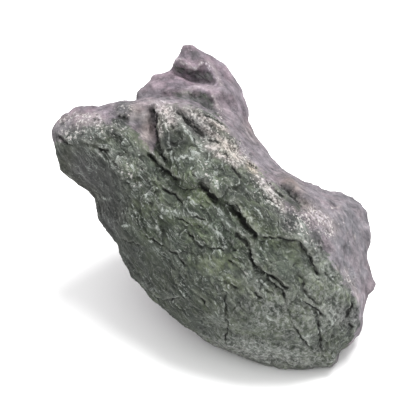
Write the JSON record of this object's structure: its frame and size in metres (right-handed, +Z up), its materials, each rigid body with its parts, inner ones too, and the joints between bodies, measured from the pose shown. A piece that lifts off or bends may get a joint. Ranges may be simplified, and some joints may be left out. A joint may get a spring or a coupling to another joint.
{
  "type": "seiryu stone",
  "caption": "Weathered, layered limestone rock for a planted tank or rock garden: a broad cracked face, an overhanging nose and a peak behind; it rests on a flat patch.",
  "frame": {"origin": "centre of the bounding box in plan, at the level of the flat patch the stone rests on", "axes": "+X to the right across the broad cracked face, -Y towards the viewer who faces it, +Z up"},
  "size_m": [0.1797, 0.1631, 0.126],
  "materials": {
    "stone": "matt, weathered grey green limestone with a mauve grey crust and white calcite flecks"
  },
  "bodies": {
    "root": {"stone": "stone"}
  },
  "joints": []
}
